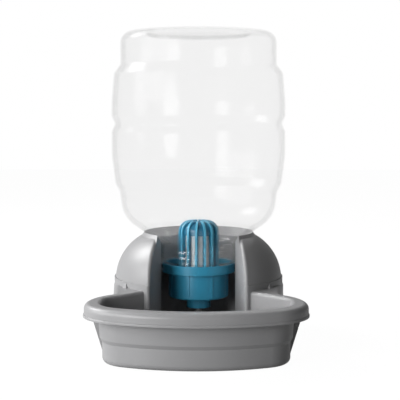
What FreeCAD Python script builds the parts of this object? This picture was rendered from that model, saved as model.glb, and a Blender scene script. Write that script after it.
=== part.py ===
import FreeCAD, Part

import math
import os
import re

import Sketcher

# A gravity waterer for a dog. A clear bottle stands upside down on the ring of a domed tower. A blue
# screw cap hangs in the tower's well, with a valve that a post on the basin's floor holds open, and
# a finned cage with a filter cartridge that stands up into the bottle's neck. The bowl faces -Y, up
# is +Z, and the origin is on the floor, at the middle of the whole object's outline.
#
# Plan places are given from the tower's axis: across is +X and the bowl lies at negative Y. Heights
# are from the floor. All lengths are in millimetres and all angles in degrees.

SIZES = {
    # How far a cutting tool runs past the face that it opens
    "overcut": 1.0,
    # Base moulding, heights
    "base_clear": 1.0,
    "base_wall": 3.0,
    "floor_thick": 3.0,
    "rim_z": 54.7,
    "rim_drop": 11.9,
    "plinth_rise": 5.3,
    # Base moulding, outline of the rolled rim seen from above
    "front_reach": 180.0,
    "bowl_centre": 123.0,
    "rim_half": 100.0,
    "rim_corner_r": 45.0,
    "flank_r": 54.0,
    "waist_r": 10.0,
    "waist_half": 78.5,
    "ledge_half": 85.0,
    "rim_crown_r": 5.0,
    "bead_proud": 0.8,
    "bead_high": 2.2,
    # Side skirt, down to the floor
    "skirt_foot_r": 87.0,
    "leg_reach": 105.0,
    "leg_half": 85.0,
    "leg_thick": 5.0,
    "foot_edge": 2.4,
    # Basin
    "basin_inset": 11.5,
    "basin_wall_inset": 15.0,
    "basin_low_inset": 19.0,
    "bowl_step_z": 22.0,
    "bowl_step_high": 3.5,
    "bowl_taper": 2.0,
    "bowl_bottom_r": 5.0,
    "basin_corner_r": 25.0,
    "basin_corner_y": 111.0,
    "basin_back_angle": 45.0,
    "basin_lip_r": 3.2,
    # Channel and well
    "well_r": 43.0,
    "channel_back": 20.0,
    "channel_back_half": 36.0,
    "channel_front": 90.0,
    "channel_front_half": 48.5,
    "channel_edge_r": 2.5,
    # Tower
    "plinth_r": 84.0,
    "dome_curve_r": 50.2,
    "dome_centre_r": 32.7,
    "dome_centre_z": 56.4,
    "ring_r": 56.5,
    "ring_edge": 2.4,
    "seat_angle": 35.0,
    "seat_gap": 0.1,
    # Post, nubs, feet
    "post_r": 3.0,
    "post_rib_r": 9.0,
    "post_rib_z": 20.0,
    "post_rib_thick": 1.6,
    "nub_long": 9.0,
    "nub_high": 5.0,
    "nub_deep": 3.0,
    "nub_angle": 35.0,
    "foot_r": 6.5,
    "foot_recess": 0.8,
    "foot_gap": 0.3,
    "foot_front_x": 50.0,
    "foot_front_y": 132.0,
    "foot_rear_x": 49.0,
    "foot_rear_y": 58.0,
    "foot_boss_r": 8.5,
    "foot_boss_high": 12.0,
    # Bottle
    "bottle_z": 302.0,
    "bottle_wall": 1.2,
    "shoulder_r": 54.0,
    "shoulder_z": 104.0,
    "neck_r": 37.5,
    "neck_fillet_r": 12.0,
    "finish_r": 33.6,
    "bead_r": 38.0,
    "bead_thick": 2.2,
    "neck_gap": 0.4,
    "cone_r": 60.0,
    "shoulder_curve_r": 35.0,
    "lower_band_r": 82.7,
    "lower_band_z": 153.0,
    "band_slope": 9.0,
    "band_step": 4.7,
    "body_r": 86.0,
    "groove_down": 90.5,
    "groove_deep": 3.3,
    "groove_high": 8.5,
    "band_high": 14.0,
    "upper_band_r": 83.5,
    "crown_high": 32.0,
    "crown_r": 77.0,
    "crown_round_r": 11.0,
    "push_up_r": 52.0,
    "push_up_deep": 4.0,
    # Cap
    "cap_top_z": 73.0,
    "cap_flange_high": 8.8,
    "cap_flange_r": 36.4,
    "cap_deck": 1.8,
    "cap_clear": 0.6,
    "drum_r": 30.0,
    "drum_wall": 2.0,
    "drum_ledge": 1.2,
    "drum_z": 38.7,
    "drum_floor": 2.0,
    "drum_round_r": 2.0,
    "drum_rib_count": 8,
    "drum_rib_proud": 0.5,
    "drum_rib_wide": 2.0,
    "cap_turn": 27.0,
    "spout_r": 12.0,
    "spout_wall": 2.5,
    "spout_z": 28.0,
    "hub_wall": 1.8,
    "hub_high": 4.0,
    "hub_spokes": 3,
    "hub_rise": 6.0,
    "spoke_thick": 1.6,
    # Gasket
    "gasket_thick": 1.5,
    "gasket_wide": 4.2,
    # Valve
    "stem_r": 3.0,
    "stem_gap": 0.4,
    "valve_lift": 3.0,
    "post_reach": 5.0,
    "seal_thick": 1.5,
    "seal_r": 12.0,
    "head_r": 11.0,
    "head_thick": 2.0,
    "spigot_high": 1.0,
    "stem_chamfer": 0.5,
    # Spring and its retainer
    "wire_r": 0.35,
    "spring_r": 4.2,
    "spring_turns": 5,
    "retainer_z": 57.0,
    "retainer_thick": 2.5,
    "retainer_ring": 3.6,
    "retainer_hub_r": 6.0,
    "retainer_spokes": 4,
    "retainer_spoke_wide": 3.0,
    "fit_gap": 0.3,
    # Filter cage and cartridge
    "cage_flange_thick": 2.0,
    "cage_tube_r": 17.5,
    "cage_wall": 1.6,
    "cage_top_z": 112.6,
    "cage_round_r": 8.5,
    "cage_roof": 3.0,
    "fin_count": 14,
    "fin_proud": 2.5,
    "fin_thick": 2.0,
    "fin_turn": 7.2,
    "fin_hub_r": 6.0,
    "window_low_z": 68.0,
    "window_high_z": 101.0,
    "window_wide": 4.6,
    "cartridge_high": 42.0,
    "cartridge_cap": 3.0,
    "cartridge_waist": 0.4,
}

# Places that several pieces share, worked out from the sizes
AXIS_Y = "(front_reach + bead_proud - skirt_foot_r) / 2"
BASIN_FLOOR_Z = "(base_clear + floor_thick)"
RIM_LOW_Z = "(rim_z - rim_drop)"
LEDGE_UNDER_Z = "(rim_z - base_wall)"
PLINTH_Z = "(rim_z + plinth_rise)"
DECK_Z = "(cap_top_z - cap_flange_high + cap_deck)"
FLANGE_LOW_Z = "(cap_top_z - cap_flange_high)"
LIP_Z = f"({DECK_Z} + gasket_thick)"
DRUM_BORE_R = "(drum_r - drum_wall)"
SPOUT_BORE_R = "(spout_r - spout_wall)"
VALVE_SEAT_Z = "(drum_z + drum_floor)"
SEAL_Z = f"({VALVE_SEAT_Z} + valve_lift)"
HEAD_Z = f"({SEAL_Z} + seal_thick)"
HEAD_TOP_Z = f"({HEAD_Z} + head_thick)"
STEM_TIP_Z = "(spout_z + post_reach)"
RETAINER_TOP_Z = "(retainer_z + retainer_thick)"
CAGE_FLOOR_Z = f"({RETAINER_TOP_Z} + cage_flange_thick)"
RING_Z = "(dome_centre_z + sqrt(dome_curve_r^2 - (ring_r - dome_centre_r)^2))"

FEET = {
    "foot_front_left": ("-foot_front_x", "-foot_front_y"),
    "foot_front_right": ("foot_front_x", "-foot_front_y"),
    "foot_rear_left": ("-foot_rear_x", "foot_rear_y"),
    "foot_rear_right": ("foot_rear_x", "foot_rear_y"),
}

UPWARDS = FreeCAD.Vector(0, 0, 1)
TOP_DOWN = "XY_Plane"
FACING_FRONT = "XZ_Plane"
BELOW_ALL_Z = "(-overcut)"
ABOVE_ALL_Z = "(bottle_z)"
NEAR = 0.01

doc = FreeCAD.newDocument("Waterer")
sheet = doc.addObject("Spreadsheet::Sheet", "Sizes")
for row, (alias, value) in enumerate(SIZES.items(), start=1):
    sheet.set(f"A{row}", alias)
    sheet.set(f"B{row}", str(value))
    sheet.setAlias(f"B{row}", alias)
doc.recompute()


# Sizes and sketches

def bound(expression):
    """The expression with each size's name led to its cell."""
    def led(word):
        return f"Sizes.{word[0]}" if word[0] in SIZES else word[0]
    return re.sub(r"[a-z][a-z0-9_]*", led, expression)


def number(expression):
    """The present value of an expression."""
    return float(sheet.evalExpression(bound(expression)))


def bind(item, prop, expression):
    """Tie a property to the sheet."""
    item.setExpression(prop, bound(expression))


def seat_z(radius):
    """Height of the bottle's shoulder cone at a radius."""
    return f"(shoulder_z + (({radius}) - shoulder_r) * tan(seat_angle))"


def arc_between(start, end, radius, turn):
    """The shorter arc from start to end that turns left (1) or right (-1)."""
    chord = end - start
    middle = (start + end) * 0.5
    left = FreeCAD.Vector(-chord.y, chord.x, 0).normalize()
    rise = math.sqrt(max(radius ** 2 - (chord.Length / 2) ** 2, 0))
    centre = middle + left * (rise * turn)
    first, last = (start, end) if turn > 0 else (end, start)
    begin = math.atan2(first.y - centre.y, first.x - centre.x)
    finish = math.atan2(last.y - centre.y, last.x - centre.x)
    if finish < begin:
        finish += 2 * math.pi
    return Part.ArcOfCircle(Part.Circle(centre, UPWARDS, radius), begin, finish)


def pin(sketch, index, end, across, up):
    """Fix one end of a line or arc at two expressions."""
    for kind, axis, expression in (("DistanceX", -2, across), ("DistanceY", -1, up)):
        if expression == "0":
            sketch.addConstraint(Sketcher.Constraint("PointOnObject", index, end, axis))
            continue
        place = sketch.addConstraint(Sketcher.Constraint(kind, index, end, number(expression)))
        sketch.setExpression(f"Constraints[{place}]", bound(expression))


def outline(sketch, steps, closed=True):
    """Draw lines and arcs through the steps and tie every point and radius to the sheet.

    A step is (x, y) for a line to that point, or (x, y, radius, turn) for an arc to it.
    """
    points = [FreeCAD.Vector(number(step[0]), number(step[1]), 0) for step in steps]
    first = 0 if closed else 1
    ends = []
    for place in range(first, len(steps)):
        step = steps[place]
        start, end = points[place - 1], points[place]
        if len(step) == 2:
            index = sketch.addGeometry(Part.LineSegment(start, end), False)
            ends.append((index, 1, 2))
        else:
            index = sketch.addGeometry(arc_between(start, end, number(step[2]), step[3]), False)
            ends.append((index, 1, 2) if step[3] > 0 else (index, 2, 1))
            tie = sketch.addConstraint(Sketcher.Constraint("Radius", index, number(step[2])))
            sketch.setExpression(f"Constraints[{tie}]", bound(step[2]))
    for place, (index, begin, end) in enumerate(ends):
        pin(sketch, index, end, *steps[place + first][:2])
        before = ends[place - 1]
        if place > 0 or closed:
            sketch.addConstraint(Sketcher.Constraint("Coincident", before[0], before[2], index, begin))
        else:
            pin(sketch, index, begin, *steps[0][:2])
    return sketch


def circle(sketch, radius, across="0", up="0"):
    """Draw a circle tied to the sheet."""
    centre = FreeCAD.Vector(number(across), number(up), 0)
    index = sketch.addGeometry(Part.Circle(centre, UPWARDS, number(radius)), False)
    tie = sketch.addConstraint(Sketcher.Constraint("Radius", index, number(radius)))
    sketch.setExpression(f"Constraints[{tie}]", bound(radius))
    pin(sketch, index, 3, across, up)
    return sketch


def mirrored(steps):
    """The right half of a closed outline, front to back, followed by its left half."""
    left = []
    for place in range(len(steps) - 1, -1, -1):
        across, up = steps[place][:2]
        if across == "0":
            continue
        after = steps[place + 1] if place + 1 < len(steps) else (None, None)
        left.append((f"-({across})", up) + tuple(after[2:]))
    return steps + left


def loose_sketch(name, plane, height="0"):
    """A sketch that stands by itself, flat at a height or upright in the middle plane."""
    sketch = doc.addObject("Sketcher::SketchObject", name)
    if plane == FACING_FRONT:
        upright = FreeCAD.Rotation(FreeCAD.Vector(1, 0, 0), 90)
        sketch.Placement = FreeCAD.Placement(FreeCAD.Vector(), upright)
    else:
        bind(sketch, "Placement.Base.z", height)
    return sketch


def new_body(label):
    """A body that stands on the tower's axis."""
    body = doc.addObject("PartDesign::Body", label)
    body.Label = label
    bind(body, "Placement.Base.y", AXIS_Y)
    return body


def turned_body(label, degrees):
    """A body on the tower's axis, turned about it by a size in degrees."""
    body = new_body(label)
    body.Placement = FreeCAD.Placement(body.Placement.Base, FreeCAD.Rotation(UPWARDS, number(degrees)))
    bind(body, "Placement.Rotation.Angle", f"{degrees} * 1 deg")
    return body


def body_sketch(body, name, plane, height="0"):
    """A sketch on one of the body's own planes, raised by a height."""
    sketch = body.newObject("Sketcher::SketchObject", name)
    support = [item for item in body.Origin.OriginFeatures if item.Role == plane][0]
    sketch.AttachmentSupport = [(support, "")]
    sketch.MapMode = "FlatFace"
    bind(sketch, "AttachmentOffset.Base.z", height)
    return sketch


# Features

def revolve(body, name, steps):
    """Turn an upright half section about the body's axis."""
    sketch = outline(body_sketch(body, f"{name}_section", FACING_FRONT), steps)
    feature = body.newObject("PartDesign::Revolution", name)
    feature.Profile = sketch
    feature.ReferenceAxis = (sketch, ["V_Axis"])
    feature.Angle = 360
    return feature


def pad(body, name, sketch, length, midplane=False):
    """Raise a sketch by a length, or by half of it to each side."""
    feature = body.newObject("PartDesign::Pad", name)
    feature.Profile = sketch
    feature.Midplane = midplane
    bind(feature, "Length", length)
    return feature


def pattern(body, name, feature, count):
    """Repeat a feature round the body's axis."""
    turned = body.newObject("PartDesign::PolarPattern", name)
    axis = [item for item in body.Origin.OriginFeatures if item.Role == "Z_Axis"][0]
    turned.Originals = [feature]
    turned.Axis = (axis, [""])
    turned.Angle = 360
    bind(turned, "Occurrences", count)
    body.Tip = turned
    return turned


def extrude(name, steps, low, high):
    """A loose prism of an outline seen from above, between two heights."""
    sketch = outline(loose_sketch(f"{name}_outline", TOP_DOWN, low), steps)
    prism = doc.addObject("Part::Extrusion", name)
    prism.Base = sketch
    prism.DirMode = "Custom"
    prism.Dir = UPWARDS
    prism.Solid = True
    bind(prism, "LengthFwd", f"({high}) - ({low})")
    return prism


def turn(name, steps):
    """A loose solid turned from an upright half section."""
    sketch = outline(loose_sketch(f"{name}_section", FACING_FRONT), steps)
    solid = doc.addObject("Part::Revolution", name)
    solid.Source = sketch
    solid.Axis = UPWARDS
    solid.Angle = 360
    solid.Solid = True
    return solid


def loft(name, sections):
    """A loose ruled solid through outlines at their heights."""
    solid = doc.addObject("Part::Loft", name)
    solid.Sections = [
        outline(loose_sketch(f"{name}_{place}", TOP_DOWN, height), steps)
        for place, (height, steps) in enumerate(sections)
    ]
    solid.Solid = True
    solid.Ruled = True
    return solid


def post(name, radius, low, high, across="0", up="0"):
    """A loose upright cylinder."""
    solid = doc.addObject("Part::Cylinder", name)
    bind(solid, "Radius", radius)
    bind(solid, "Height", f"({high}) - ({low})")
    bind(solid, "Placement.Base.x", across)
    bind(solid, "Placement.Base.y", up)
    bind(solid, "Placement.Base.z", low)
    return solid


def fuse(name, *solids):
    """Join loose solids."""
    joined = doc.addObject("Part::MultiFuse", name)
    joined.Shapes = list(solids)
    return joined


def cut(name, solid, tool):
    """Take one loose solid from another."""
    result = doc.addObject("Part::Cut", name)
    result.Base = solid
    result.Tool = tool
    return result


def common(name, *solids):
    """What loose solids share."""
    result = doc.addObject("Part::MultiCommon", name)
    result.Shapes = list(solids)
    return result


def round_edges(name, solid, radius, wanted):
    """Round the edges of a loose solid that the test picks."""
    doc.recompute()
    size = number(radius)
    picked = [place for place, edge in enumerate(solid.Shape.Edges, start=1) if wanted(edge)]
    if not picked:
        raise RuntimeError(f"{name}: no edge to round")
    rounded = doc.addObject("Part::Fillet", name)
    rounded.Base = solid
    rounded.Edges = [(place, size, size) for place in picked]
    return rounded


def lies_at(height):
    """A test for edges that lie flat at a height."""
    level = number(height)
    return lambda edge: max(abs(edge.BoundBox.ZMin - level), abs(edge.BoundBox.ZMax - level)) < NEAR


# Outlines of the base, seen from above

def front_sweep(inset):
    """The bowl's front, from its middle round to its widest place, moved inwards by an inset."""
    half = f"(rim_half - ({inset}))"
    corner = f"(rim_corner_r - ({inset}))"
    reach = f"(front_reach - bowl_centre - ({inset}))"
    spread = "(rim_half - rim_corner_r)"
    front_r = f"(({spread}^2 + {reach}^2 - {corner}^2) / (2 * ({reach} - {corner})))"
    meet_x = f"{spread} * {front_r} / ({front_r} - {corner})"
    meet_y = f"-bowl_centre - {corner} * ({front_r} - {reach}) / ({front_r} - {corner})"
    return [(meet_x, meet_y, front_r, 1), (half, "-bowl_centre", corner, 1)]


WAIST_X = "(waist_half + waist_r)"
WAIST_SPAN = "(flank_r + waist_r)"
WAIST_BACK = f"sqrt({WAIST_SPAN}^2 - ({WAIST_X} - rim_half + flank_r)^2)"
WAIST_Y = f"(-bowl_centre + {WAIST_BACK})"


def waist_meet(inset):
    """Where the flank's curve meets the waist's, moved inwards by an inset."""
    share = f"((flank_r - ({inset})) / {WAIST_SPAN})"
    across = f"rim_half - flank_r + {share} * ({WAIST_X} - rim_half + flank_r)"
    return across, f"-bowl_centre + {share} * {WAIST_BACK}"


def rim_outline(inset):
    """The whole rim: front, flanks, waist and round back."""
    side = f"(ledge_half - ({inset}))"
    return mirrored(front_sweep(inset) + [
        (*waist_meet(inset), f"flank_r - ({inset})", 1),
        (f"waist_half - ({inset})", WAIST_Y, f"waist_r + ({inset})", -1),
        (side, "0"),
        ("0", side, side, 1),
    ])


def skirt_top_outline(inset, end_inset, reach):
    """The skirt where it meets the rim, open towards the bowl at a reach."""
    side = f"(ledge_half - ({inset}))"
    end_r = f"(flank_r - ({end_inset}))"
    end_x = f"rim_half - flank_r + sqrt({end_r}^2 - (bowl_centre - ({reach}))^2)"
    return mirrored([
        (end_x, f"-({reach})"),
        (*waist_meet(inset), f"flank_r - ({inset})", 1),
        (f"waist_half - ({inset})", WAIST_Y, f"waist_r + ({inset})", -1),
        (side, "0"),
        ("0", side, side, 1),
    ])


def skirt_foot_outline(inset, end_inset, reach):
    """The skirt at the floor: a round back and nearly straight sides."""
    side = f"(skirt_foot_r - ({inset}))"
    lean = f"((skirt_foot_r - leg_half) / leg_reach)"
    meet_x, meet_y = waist_meet("0")
    return mirrored([
        (f"leg_half - ({end_inset})", f"-({reach})"),
        (f"{side} + ({meet_y}) * {lean}", meet_y),
        (f"{side} + ({WAIST_Y}) * {lean}", WAIST_Y),
        (side, "0"),
        ("0", side, side, 1),
    ])


def basin_outline(inset):
    """The basin: the front's sweep, rounded back corners and straight back edges to the channel."""
    depth = f"(({inset}) - basin_inset)"
    corner_x = "(rim_half - basin_inset - basin_corner_r)"
    corner = f"(basin_corner_r - {depth})"
    turn_x = f"{corner_x} + {corner} * cos(basin_back_angle)"
    turn_y = f"-basin_corner_y + {corner} * sin(basin_back_angle)"
    mouth_x = "channel_back_half"
    run = f"({turn_x} - {mouth_x})"
    mouth_y = f"{turn_y} + {run} / tan(basin_back_angle)"
    return mirrored(front_sweep(inset) + [
        (f"rim_half - ({inset})", "-basin_corner_y"),
        (turn_x, turn_y, corner, 1),
        (mouth_x, mouth_y),
    ])


def channel_outline(grown):
    """The channel between the tower's two front edges, widening forwards."""
    return [
        (f"channel_back_half + ({grown})", "-channel_back"),
        (f"-channel_back_half - ({grown})", "-channel_back"),
        (f"-channel_front_half - ({grown})", "-channel_front"),
        (f"channel_front_half + ({grown})", "-channel_front"),
    ]


# Base moulding

def dome_section(inset, low, top_r, top_z):
    """Half section of the dome: curved flank, then the shoulder's cone down to the middle."""
    curve = f"(dome_curve_r - ({inset}))"
    foot = f"dome_centre_r + sqrt({curve}^2 - ({low} - dome_centre_z)^2)"
    core_r = "(well_r - base_wall)"
    core_z = f"({top_z}) - (({top_r}) - {core_r}) * tan(seat_angle)"
    return curve, foot, core_r, core_z


def make_dome(open_way):
    """The dome with its ring, slotted for the channel and the well, its front edges rounded."""
    seat_r = "(ring_r - ring_edge)"
    top_z = f"({seat_z(seat_r)} - seat_gap)"
    curve, foot, core_r, core_z = dome_section("0", PLINTH_Z, seat_r, top_z)
    dome = turn("dome", [
        ("0", PLINTH_Z),
        (foot, PLINTH_Z),
        ("ring_r", RING_Z, curve, 1),
        (seat_r, top_z),
        (core_r, core_z),
        ("0", core_z),
    ])
    slotted = cut("dome_slotted", dome, open_way)

    half_ring = number("ring_r") / 2
    half_high = (number(RING_Z) - number(PLINTH_Z)) / 2

    def pillar_edge(edge):
        box = edge.BoundBox
        return box.ZLength > half_high and box.YMin < -half_ring and edge.Length > half_ring
    return round_edges("dome_rounded", slotted, "channel_edge_r", pillar_edge)


def make_tower_foot():
    """The tower's round foot, open for the channel all the way down, its front corners rounded."""
    drum = post("tower_drum", "plinth_r", "base_clear - overcut", PLINTH_Z)
    slot = extrude("tower_slot", channel_outline("0"), BELOW_ALL_Z, ABOVE_ALL_Z)
    slotted = cut("tower_slotted", drum, slot)

    def front_corner(edge):
        box = edge.BoundBox
        return max(box.XLength, box.YLength) < NEAR and box.YMin < -number("plinth_r") / 2
    return round_edges("tower_foot", slotted, "channel_edge_r", front_corner)


def make_bowl():
    """Outside of the bowl: a low pan with a rounded bottom and a wider, tapered upper wall."""
    wall_low = "(basin_low_inset - base_wall)"
    wall_high = "(basin_wall_inset - base_wall)"
    step_low_z = "(bowl_step_z - bowl_step_high / 2)"
    step_high_z = "(bowl_step_z + bowl_step_high / 2)"
    pan = extrude("pan", basin_outline(wall_low), "base_clear", step_low_z)
    pan_rounded = round_edges("pan_rounded", pan, "bowl_bottom_r", lies_at("base_clear"))
    wall = loft("bowl_wall", [
        (step_low_z, basin_outline(wall_low)),
        (step_high_z, basin_outline(f"{wall_high} + bowl_taper")),
        (LEDGE_UNDER_Z, basin_outline(wall_high)),
    ])
    return fuse("bowl", pan_rounded, wall)


def make_bowl_zone(name, low, high):
    """A block that holds everything in front of the legs, between two heights."""
    return extrude(name, [
        ("rim_half * 2", "-leg_reach"),
        ("-rim_half * 2", "-leg_reach"),
        ("-rim_half * 2", "-front_reach * 2"),
        ("rim_half * 2", "-front_reach * 2"),
    ], low, high)


def make_rim():
    """The rolled rim and ledge, with a crowned edge above and a fine bead below."""
    slab = extrude("rim_slab", rim_outline("0"), RIM_LOW_Z, "rim_z")
    crowned = round_edges("rim_crowned", slab, "rim_crown_r", lies_at("rim_z"))
    bead = extrude("rim_bead", rim_outline("-bead_proud"), RIM_LOW_Z, f"{RIM_LOW_Z} + bead_high")
    bead_round = round_edges("rim_bead_round", bead, "bead_proud", lies_at(f"{RIM_LOW_Z} + bead_high"))
    bead_front = common("rim_bead_front", bead_round, make_bowl_zone("bead_zone", BASIN_FLOOR_Z, "rim_z"))
    return fuse("rim", crowned, bead_front)


def make_skirt():
    """The skirt that carries the tower's sides and back, ending in the two legs."""
    return loft("skirt", [
        ("base_clear", skirt_foot_outline("foot_edge", "foot_edge", "leg_reach")),
        ("base_clear + foot_edge", skirt_foot_outline("0", "0", "leg_reach")),
        (RIM_LOW_Z, skirt_top_outline("0", "0", "leg_reach")),
    ])


def make_hollows(bowl):
    """What is open under the base: inside the dome, inside the skirt and under the rolled rim."""
    below = "(base_clear - base_wall)"
    roof_r = "(ring_r - base_wall)"
    curve, _, core_r, _ = dome_section("base_wall", PLINTH_Z, roof_r, "0")
    roof_z = f"(dome_centre_z + sqrt({curve}^2 - ({roof_r} - dome_centre_r)^2))"
    core_z = f"({roof_z} - ({roof_r} - {core_r}) * tan(seat_angle))"
    inside_dome = turn("dome_inside", [
        ("0", below),
        (f"dome_centre_r + {curve}", below),
        (f"dome_centre_r + {curve}", "dome_centre_z"),
        (roof_r, roof_z, curve, 1),
        (core_r, core_z),
        ("0", core_z),
    ])
    past_leg = "(leg_reach + overcut)"
    inside_skirt = loft("skirt_inside", [
        (below, skirt_foot_outline("base_wall", "leg_thick", past_leg)),
        (RIM_LOW_Z, skirt_top_outline("base_wall", "leg_thick", past_leg)),
        (LEDGE_UNDER_Z, skirt_top_outline("base_wall", "leg_thick", past_leg)),
    ])
    under_low = f"{RIM_LOW_Z} - overcut"
    under_slab = extrude("under_rim_slab", rim_outline("base_wall"), under_low, LEDGE_UNDER_Z)
    under_zone = make_bowl_zone("under_rim_zone", BASIN_FLOOR_Z, "rim_z")
    under_rim = common("under_rim", under_slab, under_zone)
    well_wall = post("well_wall", "well_r + base_wall", below, ABOVE_ALL_Z)
    channel_wall = extrude("channel_wall", channel_outline("base_wall"), below, ABOVE_ALL_Z)
    walls = fuse("hollow_walls", bowl, well_wall, channel_wall)
    rooms = {"dome": inside_dome, "skirt": inside_skirt, "rim": under_rim}
    return [cut(f"hollow_{name}", room, walls) for name, room in rooms.items()]


def make_basin(tower_foot):
    """The open basin before the tower: a low pan, a wider upper part and a rounded lip."""
    low = extrude("basin_low", basin_outline("basin_low_inset"), BASIN_FLOOR_Z, "bowl_step_z + base_wall")
    low_round = round_edges("basin_low_round", low, "bowl_bottom_r - base_wall", lies_at(BASIN_FLOOR_Z))
    high_z = "(bowl_step_z + bowl_step_high / 2)"
    high = extrude("basin_high", basin_outline("basin_wall_inset"), high_z, "rim_z")
    air = extrude("basin_air", rim_outline("-base_wall"), "rim_z", "rim_z + base_wall")
    mouth = fuse("basin_mouth", high, air)

    def lip(edge):
        box = edge.BoundBox
        at_rim = abs(box.ZMin - number("rim_z")) < NEAR and box.ZLength < NEAR
        return at_rim and edge.distToShape(high.Shape)[0] < NEAR
    mouth_round = round_edges("basin_mouth_round", mouth, "basin_lip_r", lip)
    return cut("basin", fuse("basin_room", low_round, mouth_round), tower_foot)


def make_post():
    """The post that opens the valve, with four ribs at its foot."""
    low = "(base_clear + floor_thick / 2)"
    stalk = post("valve_post", "post_r", low, STEM_TIP_Z)
    ribs = []
    for place, name in enumerate(("along", "across")):
        half_x, half_y = ("post_rib_r", "post_rib_thick / 2")[::1 - 2 * place]
        ribs.append(extrude(f"post_rib_{name}", [
            (half_x, half_y),
            (f"-{half_x}", half_y),
            (f"-{half_x}", f"-{half_y}"),
            (half_x, f"-{half_y}"),
        ], low, "post_rib_z"))
    return [stalk] + ribs


def make_nubs():
    """Two small ridged nubs on the ledge, each standing against the tower's foot."""
    sunk = number("base_wall") / 2
    lying = FreeCAD.Rotation(FreeCAD.Vector(1, 1, 1), 120)
    nubs = []
    for name, angle in (("right", -number("nub_angle")), ("left", 180 + number("nub_angle"))):
        nub = doc.addObject("Part::Wedge", f"nub_{name}")
        bind(nub, "Xmax", "nub_long")
        bind(nub, "X2min", "nub_long / 2")
        bind(nub, "X2max", "nub_long / 2")
        bind(nub, "Ymax", "nub_high + base_wall / 2")
        bind(nub, "Zmax", "nub_deep + base_wall / 2")
        bind(nub, "Z2max", "base_wall / 2")
        for corner in ("Xmin", "Ymin", "Zmin", "Z2min"):
            setattr(nub, corner, 0)
        place = FreeCAD.Vector(number("plinth_r") - sunk, -number("nub_long") / 2, number("rim_z") - sunk)
        round_axis = FreeCAD.Rotation(UPWARDS, angle)
        nub.Placement = FreeCAD.Placement(round_axis.multVec(place), round_axis.multiply(lying))
        nubs.append(nub)
    return nubs


def make_foot_bosses():
    """Round bosses inside the skirt that carry the two rear feet."""
    return [
        post(f"boss_{name}", "foot_boss_r", "base_clear", "base_clear + foot_boss_high", across, back)
        for name, (across, back) in FEET.items() if "rear" in name
    ]


def make_base():
    """One moulding: bowl, rim, ledge, skirt, tower, well, post, nubs and foot sockets."""
    well = post("well", "well_r", BASIN_FLOOR_Z, ABOVE_ALL_Z)
    channel = extrude("channel", channel_outline("0"), BASIN_FLOOR_Z, ABOVE_ALL_Z)
    open_way = fuse("open_way", well, channel)
    dome = make_dome(open_way)
    bowl = make_bowl()
    core = post("tower_core", "plinth_r", "base_clear", "rim_z")
    lower = fuse("lower", core, make_rim(), make_skirt(), bowl)
    tower_foot = make_tower_foot()
    emptied = cut("lower_open", lower, make_basin(tower_foot))
    below_ledge = post("below_ledge", "plinth_r + base_wall", BELOW_ALL_Z, LEDGE_UNDER_Z)
    solid = fuse("base_solid", dome, emptied, cut("plinth", tower_foot, below_ledge))
    result = cut("base_open", solid, open_way)
    for place, hollow in enumerate(make_hollows(bowl)):
        result = cut(f"base_shell_{place}", result, hollow)
    added = fuse("base_added", result, *make_post(), *make_nubs(), *make_foot_bosses())
    socket_top = "base_clear + foot_recess"
    moulding = cut("base", added, fuse("foot_sockets", *[
        post(f"socket_{name}", "foot_r + foot_gap", BELOW_ALL_Z, socket_top, across, back)
        for name, (across, back) in FEET.items()
    ]))
    bind(moulding, "Placement.Base.y", AXIS_Y)
    return moulding


# Bottle

def make_bottle():
    """Blown bottle, upside down: finish, neck, shoulder, banded body and a rounded top edge.

    The outside is drawn once, and the wall is its even offset inwards.
    """
    half_turn = "((90 - seat_angle) / 2)"
    reach = f"(neck_fillet_r * tan({half_turn}))"
    corner_z = seat_z("neck_r")
    fillet_x = f"neck_r + {reach} * cos(seat_angle)"
    fillet_z = f"{corner_z} + {reach} * sin(seat_angle)"
    finish_z = "(cap_top_z + neck_gap)"
    groove_z = "(bottle_z - groove_down)"
    section = outline(loose_sketch("bottle_section", FACING_FRONT), [
        ("finish_r", LIP_Z),
        ("finish_r", finish_z),
        ("bead_r", finish_z),
        ("bead_r", f"{finish_z} + bead_thick"),
        ("neck_r", f"{finish_z} + bead_thick + (bead_r - neck_r)"),
        ("neck_r", f"{corner_z} - {reach}"),
        (fillet_x, fillet_z, "neck_fillet_r", -1),
        ("cone_r", seat_z("cone_r")),
        ("lower_band_r - band_step", "lower_band_z - band_slope", "shoulder_curve_r", 1),
        ("lower_band_r", "lower_band_z"),
        ("body_r", f"{groove_z} - groove_high * 2"),
        ("body_r", f"{groove_z} - groove_high"),
        ("body_r - groove_deep", groove_z),
        ("body_r", f"{groove_z} + groove_high"),
        ("body_r", f"{groove_z} + groove_high + band_high"),
        ("upper_band_r", "bottle_z - crown_high - band_slope"),
        ("crown_r", "bottle_z - crown_high"),
        ("crown_r", "bottle_z - crown_round_r"),
        ("crown_r - crown_round_r", "bottle_z", "crown_round_r", 1),
        ("push_up_r", "bottle_z"),
        ("push_up_r - push_up_deep", "bottle_z - push_up_deep"),
        ("0", "bottle_z - push_up_deep"),
    ], closed=False)
    wall = doc.addObject("Part::Offset2D", "bottle_profile")
    wall.Source = section
    wall.Mode = "Skin"
    wall.Join = "Intersection"
    wall.Fill = True
    bind(wall, "Value", "bottle_wall")
    bottle = doc.addObject("Part::Revolution", "bottle")
    bottle.Source = wall
    bottle.Axis = UPWARDS
    bottle.Angle = 360
    bottle.Solid = True
    bind(bottle, "Placement.Base.y", AXIS_Y)
    return bottle


# Cap

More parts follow.
